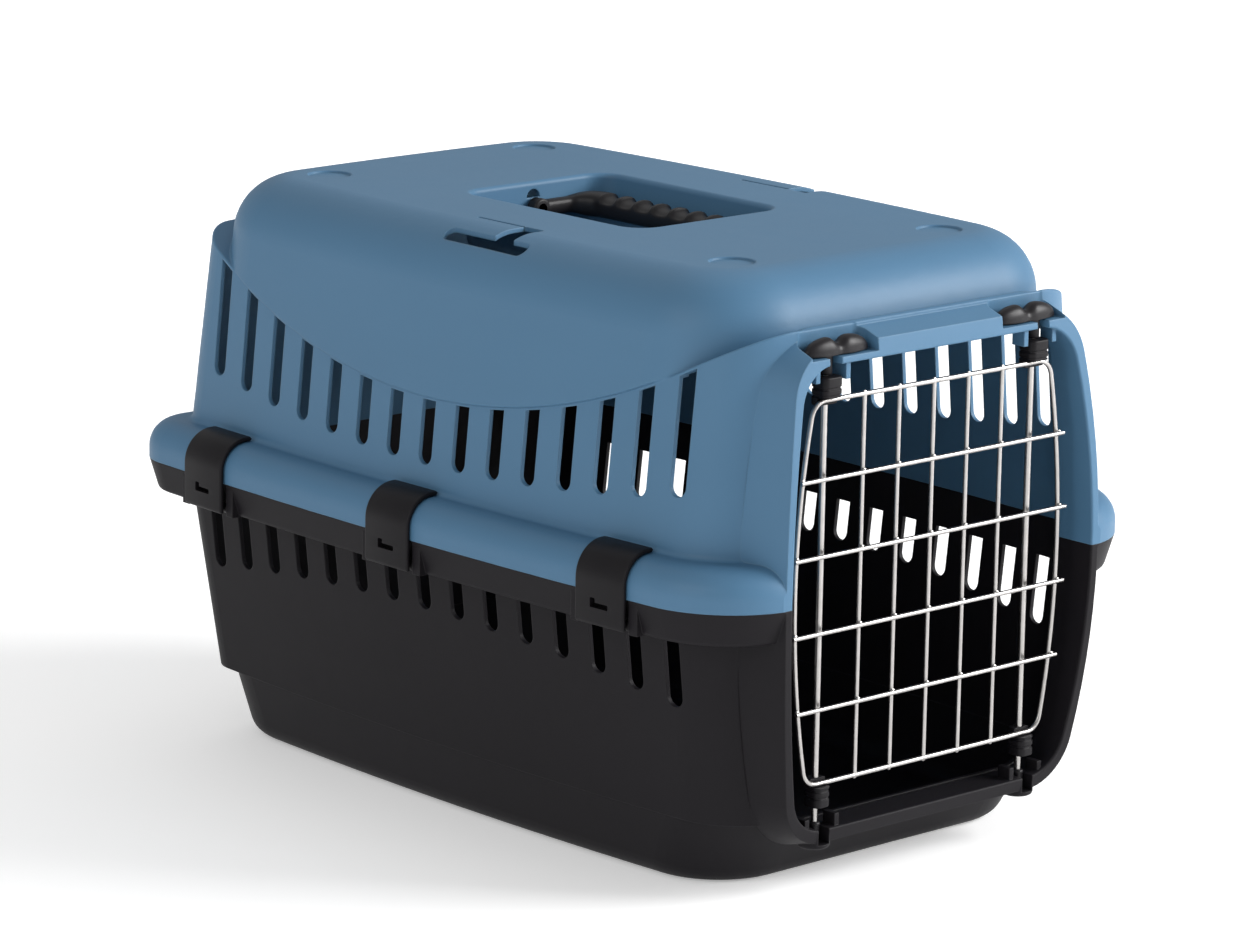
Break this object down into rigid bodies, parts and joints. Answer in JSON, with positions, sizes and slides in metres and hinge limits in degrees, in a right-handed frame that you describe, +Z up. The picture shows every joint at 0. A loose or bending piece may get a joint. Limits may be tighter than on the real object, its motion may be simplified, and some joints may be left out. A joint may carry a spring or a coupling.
{
  "type": "pet transport carrier",
  "caption": "Two-part plastic pet carrier with slotted walls, rim clips, a wire door on liftable latch rods, a folding top handle and seat-belt guides.",
  "frame": {"origin": "middle of the base's underside, on the surface the carrier stands on", "axes": "+Z up, -Y towards the door, +X to the carrier's right, +Y along its length to the rear"},
  "size_m": [0.3156, 0.46, 0.2985],
  "materials": {
    "blue_shell": "satin blue-grey polypropylene with a fine moulded grain",
    "black_tub": "satin charcoal-black polypropylene",
    "black_trim": "satin black plastic clips and guides",
    "gloss_knob": "semi-gloss black moulded plastic",
    "black_handle": "black ribbed plastic grip",
    "steel_wire": "bright plated steel wire"
  },
  "bodies": {
    "root": {"top_shell": "blue_shell", "base_tub": "black_tub", "clip_hinge_pins": "steel_wire"},
    "rim_clip_left_front_body": {"rim_clip_left_front": "black_trim"},
    "rim_clip_left_middle_body": {"rim_clip_left_middle": "black_trim"},
    "rim_clip_left_rear_body": {"rim_clip_left_rear": "black_trim"},
    "rim_clip_right_front_body": {"rim_clip_right_front": "black_trim"},
    "rim_clip_right_middle_body": {"rim_clip_right_middle": "black_trim"},
    "rim_clip_right_rear_body": {"rim_clip_right_rear": "black_trim"},
    "door": {"door_loop_wire": "steel_wire", "door_cross_wires": "steel_wire", "door_upright_wires": "steel_wire", "rod_guide_upper_left": "black_trim", "rod_guide_lower_left": "black_trim", "rod_guide_upper_right": "black_trim", "rod_guide_lower_right": "black_trim"},
    "latch_left": {"latch_rod_left": "steel_wire", "latch_knob_left": "gloss_knob", "latch_foot_left": "gloss_knob"},
    "latch_right": {"latch_rod_right": "steel_wire", "latch_knob_right": "gloss_knob", "latch_foot_right": "gloss_knob"},
    "handle": {"carry_handle": "black_handle", "handle_pin_front": "steel_wire", "handle_pin_rear": "steel_wire"}
  },
  "joints": [
    {"name": "rim_clip_left_front_hinge", "type": "hinge", "parent": "root", "child": "rim_clip_left_front_body", "pos_m": [-0.1478, -0.15083, 0.1345], "axis": [0.0503, -0.9987, 0], "range_deg": [0, 100]},
    {"name": "rim_clip_left_middle_hinge", "type": "hinge", "parent": "root", "child": "rim_clip_left_middle_body", "pos_m": [-0.1516, 0.002, 0.1345], "axis": [-0.0007, -1, 0], "range_deg": [0, 100]},
    {"name": "rim_clip_left_rear_hinge", "type": "hinge", "parent": "root", "child": "rim_clip_left_rear_body", "pos_m": [-0.14763, 0.15433, 0.1345], "axis": [-0.0514, -0.9987, 0], "range_deg": [0, 100]},
    {"name": "rim_clip_right_front_hinge", "type": "hinge", "parent": "root", "child": "rim_clip_right_front_body", "pos_m": [0.1478, -0.15083, 0.1345], "axis": [0.0503, 0.9987, 0], "range_deg": [0, 100]},
    {"name": "rim_clip_right_middle_hinge", "type": "hinge", "parent": "root", "child": "rim_clip_right_middle_body", "pos_m": [0.1516, 0.002, 0.1345], "axis": [-0.0007, 1, 0], "range_deg": [0, 100]},
    {"name": "rim_clip_right_rear_hinge", "type": "hinge", "parent": "root", "child": "rim_clip_right_rear_body", "pos_m": [0.14763, 0.15433, 0.1345], "axis": [-0.0514, 0.9987, 0], "range_deg": [0, 100]},
    {"name": "door_swing", "type": "hinge", "parent": "root", "child": "door", "pos_m": [0.0705, -0.2149, 0.148], "axis": [0, 0, 1], "range_deg": [0, 110]},
    {"name": "latch_left_lift", "type": "slide", "parent": "door", "child": "latch_left", "axis": [0, 0, 1], "range_m": [0, 0.0075]},
    {"name": "latch_right_lift", "type": "slide", "parent": "root", "child": "latch_right", "axis": [0, 0, 1], "range_m": [0, 0.0075]},
    {"name": "handle_swing", "type": "hinge", "parent": "root", "child": "handle", "pos_m": [0, 0.007, 0.285], "axis": [0, -1, 0], "range_deg": [0, 180]}
  ]
}
